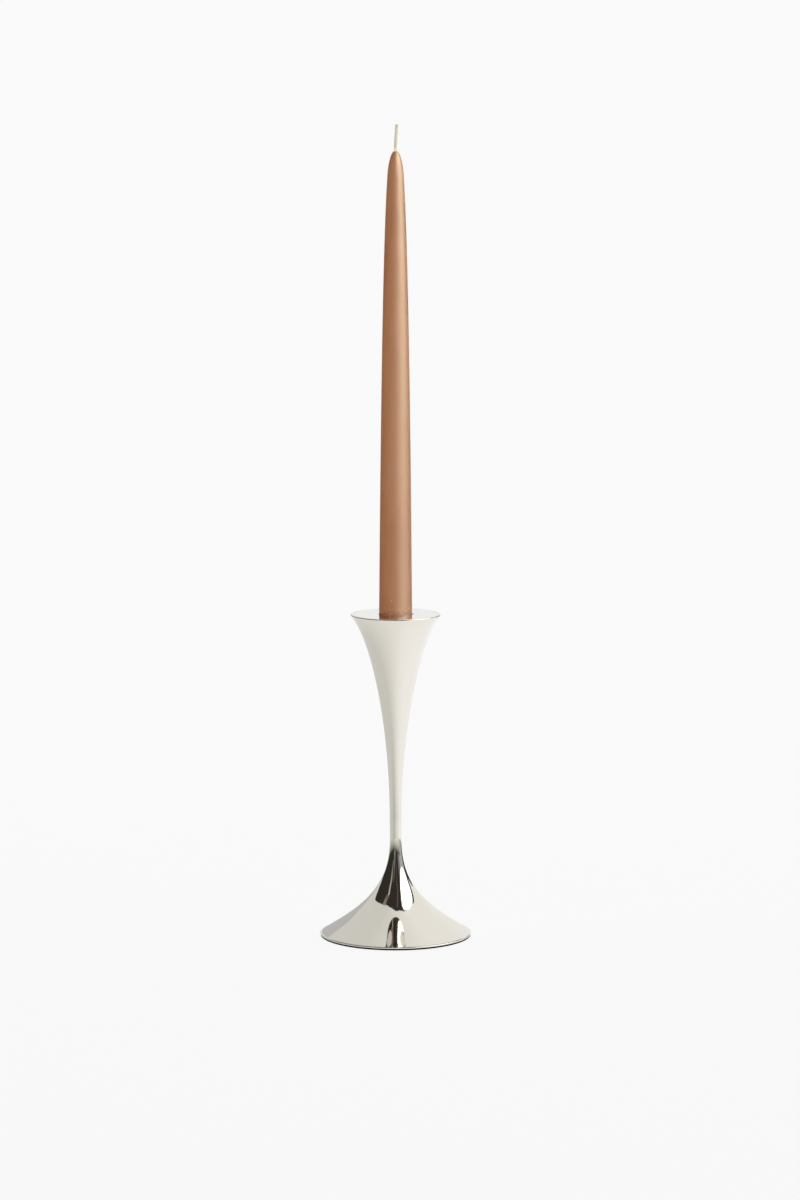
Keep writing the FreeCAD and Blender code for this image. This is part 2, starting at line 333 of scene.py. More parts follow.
class Paint:
    """Material being mixed, with its patterns in the piece's own coordinates."""

    def __init__(self, name: str) -> None:
        """Start an empty material."""
        self.material, self.tree = new_material(name)
        self.place = add_node(self.tree, "TexCoord").outputs["Object"]

    def height(self) -> Socket:
        """Height of the place, in metres."""
        return add_node(self.tree, "SeparateXYZ", links={"Vector": self.place}).outputs["Z"]

    def drawn_out(self, squeeze: float) -> Socket:
        """Coordinates that draw a pattern out along the height."""
        return add_node(self.tree, "Mapping", values={"Scale": (1.0, 1.0, squeeze)},
                        links={"Vector": self.place}).outputs["Vector"]

    def noise(self, size_mm: float, detail: float, place: Socket | None = None) -> Socket:
        """Soft random patches about size_mm across."""
        return add_node(self.tree, "TexNoise", values={"Scale": 1 / (size_mm * MM), "Detail": detail},
                        links={"Vector": place or self.place}).outputs["Fac"]

    def remap(self, value: Socket, before: Point, after: Point, smooth: bool = False) -> Socket:
        """Carry a value from one range to another, held at the ends.

        Args:
            value: what to carry.
            before: the range it comes from.
            after: the range it goes to.
            smooth: whether it eases in and out.

        Returns:
            The carried value.
        """
        ends = {"From Min": before[0], "From Max": before[1], "To Min": after[0], "To Max": after[1]}
        settings = {"interpolation_type": "SMOOTHSTEP" if smooth else "LINEAR"}
        return add_node(self.tree, "MapRange", settings, ends, {"Value": value}).outputs["Result"]

    def tones(self, share: Socket, *stops: tuple[float, str]) -> Socket:
        """Blend colours along a share from 0 to 1.

        Args:
            share: where along the blend each place is.
            stops: two or more places along it, rising, each with its hex colour.

        Returns:
            The colour.
        """
        ramp = add_node(self.tree, "ValToRGB", links={"Fac": share})
        elements = ramp.color_ramp.elements
        for element, (position, colour) in zip(elements, (stops[0], stops[-1])):
            element.position = position
            element.color = linear(colour)
        for position, colour in stops[1:-1]:
            elements.new(position).color = linear(colour)
        return ramp.outputs["Color"]

    def overlay(self, under: Socket, share: Socket, hex_colour: str) -> Socket:
        """Lay a colour over another by a share."""
        return add_node(self.tree, "Mix", {"data_type": "RGBA"}, values={"B": linear(hex_colour)},
                        links={0: share, "A": under}).outputs["Result"]

    def relief(self, height: Socket, strength: float, depth_mm: float) -> Socket:
        """Normals of a fine relief."""
        return add_node(self.tree, "Bump", values={"Strength": strength, "Distance": depth_mm * MM},
                        links={"Height": height}).outputs["Normal"]

    def finish(self, values: dict[str, object], links: dict[str, Socket]) -> bpy.types.Material:
        """Close the material with a principled shader.

        Args:
            values: constants of the shader.
            links: what is joined to its other sockets.

        Returns:
            The material.
        """
        finish_material(self.tree, add_node(self.tree, "BsdfPrincipled", values=values, links=links))
        return self.material


@dataclass(frozen=True)
class PolishedPlate:
    """Silver-grey plate, buffed to a mirror on a lathe."""

    colour: str = "e5e1d6"
    roughness: float = 0.035
    smudge: float = 0.03
    smudge_mm: float = 18.0
    wave_mm: float = 9.0
    wave_depth_mm: float = 0.0012

    def material(self) -> bpy.types.Material:
        """Build the material.

        Returns:
            The material.
        """
        paint = Paint("polished_silver_plate")
        # Faint cloths' smudges: they leave the mirror a little less sharp in soft patches.
        cloud = paint.noise(self.smudge_mm, 4.0)
        rough = paint.remap(cloud, (0.35, 0.75), (self.roughness, self.roughness + self.smudge))
        # Slow waves left by the buffing wheel: they make long reflections tremble very slightly.
        wave = paint.relief(paint.noise(self.wave_mm, 1.0), 1.0, self.wave_depth_mm)
        return paint.finish({"Base Color": linear(self.colour), "Metallic": 1.0},
                            {"Roughness": rough, "Normal": wave})


@dataclass(frozen=True)
class DyedWax:
    """Paraffin wax over-dip, dyed brown and let set with a soft sheen."""

    colour: str = "b2764e"
    pale: str = "b77d57"
    deep: str = "a96c46"
    bloom: str = "d6b596"
    # Painted shade: colour of the darkened band at the candle's foot, next to the plate.
    contact_shade: str = "7c4a33"
    roughness: float = 0.5
    mottle_mm: float = 14.0
    speck_mm: float = 1.6
    skin_mm: float = 2.4
    skin_depth_mm: float = 0.06
    drift: float = 0.22
    bloom_from: float = 0.72
    bloom_full: float = 0.86
    bloom_strength: float = 0.45
    scuff_height_mm: float = 16.0
    scuff: Point = (0.16, 0.02)
    # Height and strength of the painted contact shade at the candle's foot.
    contact_shade_height_mm: float = 4.0
    contact_shade_strength: float = 0.6
    foot_z: float = 214.0

    def material(self) -> bpy.types.Material:
        """Build the material.

        Returns:
            The material.
        """
        paint = Paint("dyed_taper_wax")
        foot = self.foot_z * MM
        # Dye takes unevenly, so the colour drifts softly along and round the candle.
        mottle = paint.noise(self.mottle_mm, 3.0, paint.drawn_out(self.drift))
        colour = paint.tones(mottle, (0.3, self.deep), (0.5, self.colour), (0.7, self.pale))
        # Pale wax bloom: fine specks, many at the foot where the candle rubs in the cup.
        specks = paint.noise(self.speck_mm, 2.0)
        height = paint.height()
        near = paint.remap(height, (foot, foot + self.scuff_height_mm * MM), self.scuff)
        spotted = add_node(paint.tree, "Math", {"operation": "ADD"}, links={0: specks, 1: near})
        mask = paint.remap(spotted.outputs["Value"], (self.bloom_from, self.bloom_full),
                           (0.0, self.bloom_strength))
        colour = paint.overlay(colour, mask, self.bloom)
        # Painted contact shade: the last few millimetres above the plate are darkened, with a ragged edge,
        # standing in for the shadow where the candle goes into the cup.
        contact_height = self.contact_shade_height_mm * MM
        ragged = add_node(paint.tree, "Math", {"operation": "MULTIPLY_ADD"},
                          values={1: contact_height * 1.6, 2: -contact_height * 0.8}, links={0: specks})
        edge = add_node(paint.tree, "Math", {"operation": "ADD"},
                        links={0: height, 1: ragged.outputs["Value"]})
        contact_mask = paint.remap(edge.outputs["Value"], (foot, foot + contact_height), (self.contact_shade_strength, 0.0), True)
        colour = paint.overlay(colour, contact_mask, self.contact_shade)
        # Set wax is slightly uneven under its skin.
        skin = paint.noise(self.skin_mm, 5.0)
        rough = paint.remap(skin, (0.0, 1.0), (self.roughness - 0.05, self.roughness + 0.08))
        return paint.finish({"IOR": 1.44}, {"Base Color": colour, "Roughness": rough,
                                            "Normal": paint.relief(skin, 0.35, self.skin_depth_mm)})


@dataclass(frozen=True)
class WhiteWax:
    """Undyed paraffin wax, cast round the wick."""

    colour: str = "ece5d6"
    frost: str = "ddd3c0"
    cloud_mm: float = 6.0
    cloud_depth_mm: float = 0.05

    def material(self) -> bpy.types.Material:
        """Build the material.

        Returns:
            The material.
        """
        paint = Paint("white_paraffin_wax")
        # Frosted crystals set in cloudy patches.
        cloud = paint.noise(self.cloud_mm, 5.0)
        return paint.finish({"Roughness": 0.45, "IOR": 1.44},
                            {"Base Color": paint.tones(cloud, (0.0, self.frost), (1.0, self.colour)),
                             "Normal": paint.relief(cloud, 0.3, self.cloud_depth_mm)})


@dataclass(frozen=True)
class CottonWick:
    """Braided cotton, primed with clear wax, with a painted highlight whitening its base."""

    colour: str = "efe0c4"
    shade: str = "bba682"
    # Painted highlight: near-white laid over the wick's base.
    glint_white: str = "f8f2e9"
    glint_from_mm: float = 515.0
    glint_to_mm: float = 519.0
    fibre_mm: float = 0.12
    fibre_depth_mm: float = 0.04

    def material(self) -> bpy.types.Material:
        """Build the material.

        Returns:
            The material.
        """
        paint = Paint("braided_cotton_wick")
        # Fibres run along the strands, drawn twice as coarse as cotton so that they show.
        grain = paint.noise(self.fibre_mm, 2.0, paint.drawn_out(0.15))
        dry = paint.tones(grain, (0.3, self.shade), (0.65, self.colour))
        # Painted highlight: a few millimetres at the base are blended to near white, standing in for a
        # bright glint there.
        glint = paint.remap(paint.height(), (self.glint_from_mm * MM, self.glint_to_mm * MM), (1.0, 0.0), True)
        return paint.finish({"Roughness": 0.75, "Sheen Weight": 0.2},
                            {"Base Color": paint.overlay(dry, glint, self.glint_white),
                             "Normal": paint.relief(grain, 0.6, self.fibre_depth_mm)})


@dataclass(frozen=True)
class FoamPad:
    """Black closed-cell foam sheet, die-cut."""

    colour: str = "0b0b0c"
    worn: str = "191919"
    cell_mm: float = 0.7
    cell_depth_mm: float = 0.12

    def material(self) -> bpy.types.Material:
        """Build the material.

        Returns:
            The material.
        """
        paint = Paint("black_cell_foam")
        # Closed cells: small round pits, a little greyer on their rims.
        cells = add_node(paint.tree, "TexVoronoi", values={"Scale": 1 / (self.cell_mm * MM)},
                         links={"Vector": paint.place}).outputs["Distance"]
        return paint.finish({"Roughness": 0.9, "Specular IOR Level": 0.12},
                            {"Base Color": paint.tones(cells, (0.0, self.colour), (1.0, self.worn)),
                             "Normal": paint.relief(cells, 0.7, self.cell_depth_mm)})


@dataclass(frozen=True)
class ZincSteel:
    """Steel with bright zinc plate, drawn or pressed."""

    colour: str = "b9bab8"
    spangle: str = "a2a4a6"
    grain_mm: float = 0.5
    roughness: Point = (0.28, 0.45)

    def material(self) -> bpy.types.Material:
        """Build the material.

        Returns:
            The material.
        """
        paint = Paint("zinc_plated_steel")
        # Zinc sets in small crystals that shift the grey and the gloss a little.
        crystal = paint.noise(self.grain_mm, 3.0)
        return paint.finish({"Metallic": 1.0},
                            {"Base Color": paint.tones(crystal, (0.0, self.spangle), (1.0, self.colour)),
                             "Roughness": paint.remap(crystal, (0.0, 1.0), self.roughness)})


@dataclass(frozen=True)
class SandCastIron:
    """Grey iron as it leaves the sand mould, with a thin dark scale."""

    colour: str = "3b3a39"
    scale_tint: str = "2a2523"
    sand_mm: float = 0.6
    sand_depth_mm: float = 0.15

    def material(self) -> bpy.types.Material:
        """Build the material.

        Returns:
            The material.
        """
        paint = Paint("sand_cast_iron")
        # Sand grains leave a gritty, dull skin.
        sand = paint.noise(self.sand_mm, 6.0)
        return paint.finish({"Metallic": 0.6, "Roughness": 0.7},
                            {"Base Color": paint.tones(sand, (0.0, self.scale_tint), (1.0, self.colour)),
                             "Normal": paint.relief(sand, 0.8, self.sand_depth_mm)})


# ---------------------------------------------------------------- sub-assemblies

def between(curve: np.ndarray, low: float, high: float) -> np.ndarray:
    """Part of a rising curve between two heights, with points exactly at both.

    Args:
        curve: radii and heights.
        low: lower height.
        high: upper height.

    Returns:
        Radii and heights of the part.
    """
    inside = curve[(curve[:, 1] > low) & (curve[:, 1] < high)]
    ends = np.array([[np.interp(z, curve[:, 1], curve[:, 0]), z] for z in (low, high)])
    return np.vstack([ends[:1], inside, ends[1:]])


def dress_nodes(material: bpy.types.Material, *nodes: str) -> None:
    """Give the material to solids whose own shape is shown.

    Args:
        material: the finish.
        nodes: names of the CAD nodes.
    """
    for node in nodes:
        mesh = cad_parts[node].data
        mesh.materials.clear()
        mesh.materials.append(material)
        LOG.info("%s keeps its own shape, in %s", node, material.name)


@dataclass
class TrumpetFoot:
    """Turned and polished foot: a flare from the waist down to an upright hem, hollow below."""

    neck_handle: float = 25.9
    throat_in: float = 4.81
    throat_z: float = 30.74
    edge_handle: float = 19.2
    edge_slope: float = 32.5
    waist_r: float = WAIST_R
    hem_h: float = 0.95
    hem_ledge: float = 0.9
    hem_round: float = 0.35
    bottom_round: float = 0.2
    wall: float = 2.0
    bore_r: float = 2.15
    seat_r: float = 8.3
    rebate_r: float = 45.55
    rebate_h: float = 1.2
    around: int = 240

    def flare(self) -> np.ndarray:
        """Outside of the flare, from the hem's ledge up to the waist: a Bezier curve of five poles.

        Returns:
            Radii and heights in millimetres, rising.
        """
        low, high = height_range("foot_shell")
        edge = np.array([widest_radius("foot_shell") - self.hem_ledge, low + self.hem_h])
        poles = [
            edge,
            edge + step(self.edge_handle, 180 - self.edge_slope),
            (self.waist_r - self.throat_in, self.throat_z),
            (self.waist_r, high - self.neck_handle),
            (self.waist_r, high),
        ]
        return bezier(poles, 190)

    def outline(self) -> np.ndarray:
        """Closed cross-section: underside, hem, flare, neck, bore, seat, hollow and rebate.

        Returns:
            Radii and heights in millimetres, anticlockwise.
        """
        low, high = height_range("foot_shell")
        radius = widest_radius("foot_shell")
        flare = self.flare()
        inner = inset(flare, self.wall)
        seat_z = float(np.interp(self.seat_r, inner[::-1, 0], inner[::-1, 1]))
        rebate_z = low + self.rebate_h
        hollow = between(inner, rebate_z, seat_z)[::-2]
        top_of_hem = low + self.hem_h
        lower = (radius - self.bottom_round, low + self.bottom_round)
        upper = (radius - self.hem_round, top_of_hem - self.hem_round)
        return profile(
            straight((self.rebate_r, low), (lower[0], low), 4),
            arc(lower, self.bottom_round, -90, 0, 7),
            arc(upper, self.hem_round, 0, 90, 11),
            flare,
            straight((self.waist_r, high), (self.bore_r, high), 2),
            straight((self.bore_r, high), (self.bore_r, seat_z), 6),
            straight((self.bore_r, seat_z), (self.seat_r, seat_z), 3),
            hollow,
            straight((hollow[-1, 0], rebate_z), (self.rebate_r, rebate_z), 2),
            straight((self.rebate_r, rebate_z), (self.rebate_r, low), 2)[:-1],
        )

    def build(self, plate: bpy.types.Material) -> None:
        """Turn the foot and put it on the holder.

        Args:
            plate: material of the polished metal.
        """
        foot = lathe("trumpet_foot", self.outline(), self.around)
        dress(foot, plate, "holder", "polished_plate", "foot_shell")


@dataclass
class StemAndBell:
    """Turned stem that opens to a bell, with a flat top let into its rim and the candle's cup."""

    waist_r: float = WAIST_R
    stem_handle: float = 39.0
    throat_out: float = 4.85
    throat_drop: float = 52.5
    edge_handle: float = 19.5
    edge_flare: float = 38.0
    rim_r: float = 29.5
    rim_round: float = 0.5
    wall: float = 1.6
    floor_r: float = 4.0
    rim_land: float = 2.1
    top_t: float = 1.6
    hole_r: float = 2.0
    hole_depth: float = 27.0
    drill_point: float = 118.0
    plate_fit: float = 0.05
    plate_bevel: float = 0.06
    cup_r: float = 11.3
    cup_wall: float = 0.8
    cup_depth: float = 20.0
    cup_corner: float = 1.2
    cup_flange: float = 3.5
    mouth: float = 0.5
    around: int = 240

    def side(self) -> np.ndarray:
        """Outside from the waist up to the rim's rounding: a Bezier curve of five poles.

        Returns:
            Radii and heights in millimetres, rising.
        """
        low, high = height_range("stem_bell")
        centre = np.array([self.rim_r - self.rim_round, high - self.rim_round])
        edge = centre + step(self.rim_round, -self.edge_flare)
        poles = [
            (self.waist_r, low),
            (self.waist_r, low + self.stem_handle),
            (self.waist_r + self.throat_out, high - self.throat_drop),
            edge + step(self.edge_handle, -90 - self.edge_flare),
            edge,
        ]
        return bezier(poles, 230)

    def bell_outline(self) -> np.ndarray:
        """Cross-section from the tapped hole's point, round the outside, to the hollow's floor.

        Returns:
            Radii and heights in millimetres, anticlockwise.
        """
        low, high = height_range("stem_bell")
        side = self.side()
        inner = inset(side, self.wall)
        seat_z = high - self.top_t
        floor_z = float(np.interp(self.floor_r, inner[:, 0], inner[:, 1]))
        hollow = between(inner, floor_z, seat_z)[::-2]
        rebate_r = self.rim_r - self.rim_land
        hole_z = low + self.hole_depth
        point_z = hole_z + self.hole_r / math.tan(math.radians(self.drill_point / 2))
        centre = (self.rim_r - self.rim_round, high - self.rim_round)
        return profile(
            straight((0, point_z), (self.hole_r, hole_z), 2),
            straight((self.hole_r, hole_z), (self.hole_r, low), 4),
            side,
            arc(centre, self.rim_round, -self.edge_flare, 90, 17),
            straight((centre[0], high), (rebate_r, high), 4),
            straight((rebate_r, high), (rebate_r, seat_z), 2),
            hollow,
            straight(hollow[-1], (0, floor_z), 3),
        )

    def top_outline(self) -> np.ndarray:
        """Closed cross-section of the flat top, with a fine bevel at its joint and at its hole.

        Returns:
            Radii and heights in millimetres, anticlockwise.
        """
        high = height_range("top_plate")[1]
        low = high - self.top_t
        outer = self.rim_r - self.rim_land - self.plate_fit
        mouth_r = self.cup_r + self.mouth
        return profile(
            straight((self.cup_r, low), (outer, low), 3),
            straight((outer, low), (outer, high - self.plate_bevel), 2),
            straight((outer - self.plate_bevel, high), (mouth_r, high), 6),
            straight((mouth_r, high), (self.cup_r, high - self.mouth), 3),
            straight((self.cup_r, high - self.mouth), (self.cup_r, low), 3)[:-1],
        )

    def cup_outline(self) -> np.ndarray:
        """Cross-section of the drawn cup, from its underside round the flange to its floor.

        Returns:
            Radii and heights in millimetres, anticlockwise.
        """
        seat_z = height_range("candle_socket")[1]
        floor_z = seat_z + self.top_t - self.cup_depth
        outer_r = self.cup_r + self.cup_wall
        under_z = floor_z - self.cup_wall
        flange_z = seat_z - self.cup_wall
        corner = (self.cup_r - self.cup_corner, floor_z + self.cup_corner)
        return profile(
            straight((0, under_z), (corner[0], under_z), 4),
            arc(corner, self.cup_corner + self.cup_wall, -90, 0, 11),
            straight((outer_r, corner[1]), (outer_r, flange_z), 4),
            straight((outer_r, flange_z), (outer_r + self.cup_flange, flange_z), 3),
            straight((outer_r + self.cup_flange, seat_z), (self.cup_r, seat_z), 4),
            straight((self.cup_r, seat_z), (self.cup_r, corner[1]), 6),
            arc(corner, self.cup_corner, 0, -90, 9),
            straight((corner[0], floor_z), (0, floor_z), 3),
        )

    def build(self, plate: bpy.types.Material) -> bpy.types.Object:
        """Turn the stem and bell, its flat top and the cup, and put them on the holder.

        Args:
            plate: material of the polished metal.

        Returns:
            The flat top.
        """
        bell = lathe("stem_and_bell", self.bell_outline(), self.around)
        dress(bell, plate, "holder", "polished_plate", "stem_bell")
        top = lathe("flat_top", self.top_outline(), self.around)
        dress(top, plate, "holder", "polished_plate", "top_plate")
        cup = lathe("candle_cup", self.cup_outline(), self.around)
        dress(cup, plate, "holder", "polished_plate", "candle_socket")
        return top


@dataclass
class Underside:
    """Foam pad under the foot, and the plate, ballast and fasteners inside it."""

    edge_round: float = 0.35
    around: int = 240

    def pad_outline(self) -> np.ndarray:
        """Cross-section of the pad: two flat faces joined by a blunt, rounded edge.

        Returns:
            Radii and heights in millimetres, anticlockwise.
        """
        low, high = height_range("base_pad")
        radius = widest_radius("base_pad")
        turn = np.radians(np.linspace(-90, 90, 17))
        half = (high - low) / 2
        # A flattened half round: the height follows the sine and the reach a blunt cosine.
        edge = np.column_stack([
            radius - self.edge_round + self.edge_round * np.cos(turn) ** 0.6,
            low + half + half * np.sin(turn),
        ])
        inner = radius - 3 * self.edge_round
        return profile(
            straight((0, low), (inner, low), 12),
            edge,
            straight((inner, high), (0, high), 12),
        )

    def build(self, foam: bpy.types.Material, zinc: bpy.types.Material,
              iron: bpy.types.Material) -> None:
        """Press the pad, and finish the hidden metalwork.

        Args:
            foam: material of the pad.
            zinc: material of the base plate and fasteners.
            iron: material of the ballast ring.
        """
        pad = lathe("foot_pad", self.pad_outline(), self.around)
        dress(pad, foam, "holder", "foam_pad", "base_pad")
        dress_nodes(zinc, "base_plate", "tie_rod", "tie_rod_washer", "tie_rod_spring_washer",
                    "tie_rod_nut")
        dress_nodes(iron, "ballast")


@dataclass
class TaperCandle:
    """Dinner candle: a white core dipped in dyed wax, round a braided wick."""

    foot_r: float = 11.0
    foot_chamfer: float = 0.9
    shoulder_r: float = 5.25
    shoulder_drop: float = 14.7
    foot_taper: float = 0.6
    shoulder_taper: float = 3.9
    side_handle: float = 60.0
    nose_handle: float = 8.3
    crown_handle: float = 1.5
    coat_t: float = 1.0
    tip_z: float = 515.3
    wick_r: float = 1.06
    wick_straight: float = 2.5
    wick_bend_r: float = 30.0
    wick_lean: float = 3.5
    wick_free: float = 17.3
    wick_coarse_to: float = 2.0
    wick_fine_from: float = 1.9
    strands: int = 4
    plait_mm: float = 5.2
    plait_depth: float = 0.2
    around: int = 144

    def side(self) -> np.ndarray:
        """Long side from the foot up to the shoulder: a Bezier curve of four poles.

        Returns:
            Radii and heights in millimetres, rising.
        """
        foot = np.array([self.foot_r, height_range("candle_colour_coat")[0]])
        shoulder = np.array([self.shoulder_r, self.tip_z - self.shoulder_drop])
        poles = [
            foot,
            foot + step(self.side_handle, 90 + self.foot_taper),
            shoulder + step(self.side_handle, -90 + self.shoulder_taper),
            shoulder,
        ]
        return bezier(poles, 300)

    def nose(self) -> np.ndarray:
        """Nose from the shoulder up to the wick: a Bezier curve of four poles.

        Returns:
            Radii and heights in millimetres, rising.
        """
        shoulder = np.array([self.shoulder_r, self.tip_z - self.shoulder_drop])
        tip = np.array([self.wick_r, self.tip_z])
        poles = [
            shoulder,
            shoulder + step(self.nose_handle, 90 + self.shoulder_taper),
            tip + np.array([self.crown_handle, 0.0]),
            tip,
        ]
        return bezier(poles, 48)

    def coat_outline(self) -> np.ndarray:
        """Closed cross-section of the dyed coat, from its foot up the outside and down the core.

        Returns:
            Radii and heights in millimetres, anticlockwise.
        """
        low = height_range("candle_colour_coat")[0]
        outside = profile(self.side(), self.nose())
        core = inset(outside, self.coat_t)
        core = core[(core[:, 0] > self.wick_r) & (core[:, 1] < self.tip_z - self.coat_t)]
        core = between(core, low, float(core[-1, 1]))
        chamfer_top = low + self.foot_chamfer
        outside = between(outside, chamfer_top, self.tip_z)
        return profile(
            straight((core[0, 0], low), (self.foot_r - self.foot_chamfer, low), 2),
            outside,
            straight((self.wick_r, self.tip_z), (self.wick_r, core[-1, 1]), 2),
            core[::-3],
            core[:1],
        )[:-1]

    def wick_path(self) -> tuple[np.ndarray, np.ndarray]:
        """Centre line of the wick and its direction: upright, a short bend, then a straight lean.

        Returns:
            Points and unit directions, each as sideways and height, in millimetres.
        """
        low = height_range("wick")[0]
        bend_z = self.tip_z + self.wick_straight
        lean = math.radians(self.wick_lean)
        inside = np.linspace(low, self.tip_z - self.wick_coarse_to, 12)
        shown = np.linspace(self.tip_z - self.wick_fine_from, bend_z, 44)
        upright = np.concatenate([inside, shown])
        turn = np.linspace(0.0, lean, 19)[1:]
        rest = self.wick_free - self.wick_straight - self.wick_bend_r * lean
        run = np.linspace(0.0, rest, 130)[1:]
        bend = np.column_stack([self.wick_bend_r * (1 - np.cos(turn)),
                                bend_z + self.wick_bend_r * np.sin(turn)])
        along = np.array([math.sin(lean), math.cos(lean)])
        free = bend[-1] + run[:, None] * along
        points = np.vstack([np.column_stack([0 * upright, upright]), bend, free])
        angle = np.concatenate([0 * upright, turn, np.full(len(run), lean)])
        return points, np.column_stack([np.sin(angle), np.cos(angle)])

    def build_wick(self, cotton: bpy.types.Material) -> bpy.types.Object:
        """Braid the wick: a tube whose radius rises over each strand that lies on top.

        Two sets of strands wind opposite ways. A strand's height is a half circle across its
        width, and the product of the two sets' sines says which of them is on top.

        Args:
            cotton: material of the wick.

        Returns:
            The wick.
        """
        points, along = self.wick_path()
        length = np.concatenate([[0.0], np.cumsum(np.linalg.norm(np.diff(points, axis=0), axis=1))])
        turn = np.linspace(0.0, 2 * math.pi, 64, endpoint=False)
        wind = length[:, None] / self.plait_mm
        left = self.strands * (turn / (2 * math.pi) + wind)
        right = self.strands * (turn / (2 * math.pi) - wind)
        over = np.sin(math.pi * left) * np.sin(math.pi * right)
        left_h = np.sqrt(1 - (2 * (left % 1) - 1) ** 2) * (1 + over) / 2
        right_h = np.sqrt(1 - (2 * (right % 1) - 1) ** 2) * (1 - over) / 2
        radius = self.wick_r - self.plait_depth * (1 - np.maximum(left_h, right_h))
        sideways = radius * np.cos(turn)
        x = points[:, :1] + sideways * along[:, 1:]
        z = points[:, 1:] - sideways * along[:, :1]
        y = radius * np.sin(turn)
        grid = np.stack([x, y, z], axis=-1).reshape(-1, 3)
        ends = np.array([[points[0, 0], 0, points[0, 1]], [points[-1, 0], 0, points[-1, 1]]])
        wick = mesh_object("braided_wick", np.vstack([grid, ends]) * MM,
                           grid_faces(len(points), len(turn)), fan_faces(len(points), len(turn)))
        return dress(wick, cotton, "candle", "cotton_wick", "wick")

    def build(self, dyed: bpy.types.Material, white: bpy.types.Material,
              cotton: bpy.types.Material) -> list[bpy.types.Object]:
        """Dip the coat, braid the wick and put both on the candle.

        Args:
            dyed: material of the coat.
            white: material of the core.
            cotton: material of the wick.

        Returns:
            The coat and the wick.
        """
        coat = lathe("dipped_coat", self.coat_outline(), self.around)
        dress(coat, dyed, "candle", "dyed_wax", "candle_colour_coat")
        wick = self.build_wick(cotton)
        dress_nodes(white, "candle_core")
        return [coat, wick]


# ---------------------------------------------------------------- studio

def along_knots(where: np.ndarray, knots: tuple[Point, ...]) -> np.ndarray:
    """Straight blend between knots, each a place and its value, and level beyond them."""
    return np.interp(where, *zip(*knots))


class Seen(Enum):
    """Which rays meet a part of the studio."""

    VIEWER = "viewer"
    METAL = "metal"
    LIGHT = "light"


@dataclass(frozen=True)
class Panel:
    """Flag or soft box, placed by the directions of its two long edges from the object.

    A direction is an azimuth, with 0 towards -Y and 90 towards +X, and an elevation, in degrees.
    """

    name: str
    first: tuple[Point, ...]
    second: tuple[Point, ...]
    start: str
    end: str
    strength: float = 1.0
    fade: float = 0.0
    distance: float = 4.0
    seen: Seen = Seen.LIGHT

    def surface(self, centre_z: float, steps: int = 36) -> tuple[np.ndarray, np.ndarray]:
        """Grid of points and their colours.

        Each angle is a straight blend between the two edges, and each point is the object's centre
        plus the distance times (sin azimuth cos elevation, -cos azimuth cos elevation,
        sin elevation). The colour is a straight blend from start to end along the edges, and its
        strength rises from 1 over the first share of them that fade gives.

        Args:
            centre_z: height that the directions start from, in metres.
            steps: points along each side.

        Returns:
            Points in metres and linear colours.
        """
        u = np.linspace(0.0, 1.0, steps)
        edges = []
        for edge in (self.first, self.second):
            knots = np.linspace(0.0, 1.0, len(edge))
            edges.append(np.column_stack([np.interp(u, knots, [p[i] for p in edge]) for i in (0, 1)]))
        v = np.linspace(0.0, 1.0, steps)[None, :, None]
        angles = np.radians(edges[0][:, None, :] * (1 - v) + edges[1][:, None, :] * v)
        azimuth, elevation = angles[..., 0], angles[..., 1]
        points = self.distance * np.stack([np.sin(azimuth) * np.cos(elevation),
                                           -np.cos(azimuth) * np.cos(elevation),
                                           np.sin(elevation)], axis=-1)
        points[..., 2] += centre_z
        low, high = np.array(linear(self.start)), np.array(linear(self.end))
        glow = low + (high - low) * u[:, None, None] + 0 * v
        rise = np.interp(u, [0.0, max(self.fade, 1e-6)], [1.0 if self.fade else self.strength,
                                                          self.strength])
        glow[..., :3] *= rise[:, None, None]
        return points.reshape(-1, 3), glow.reshape(-1, 4)


@dataclass(frozen=True)
class Lamp:
    """Rectangular soft light on the candle, by its direction, size in metres and radiance."""

    name: str
    azimuth: float
    elevation: float
    width: float
    height: float
    radiance: float
    gloss: bool
    distance: float = 1.6
    colour: str = "ffffff"


LAMPS = (
    Lamp("sheen_from_right", 62, 28, 2.3, 1.6, 18.0, True, colour="e6fff2"),
    Lamp("fill_from_front", -14, 12, 1.0, 1.2, 3.3, False),
)

TOP_CARD = Panel("card_for_flat_top",
                 ((-148, 1), (0, 1), (148, 1)),
                 ((-148, 72), (0, 72), (148, 72)),
                 "eeede9", "f6f5f2", distance=3.4, seen=Seen.METAL)

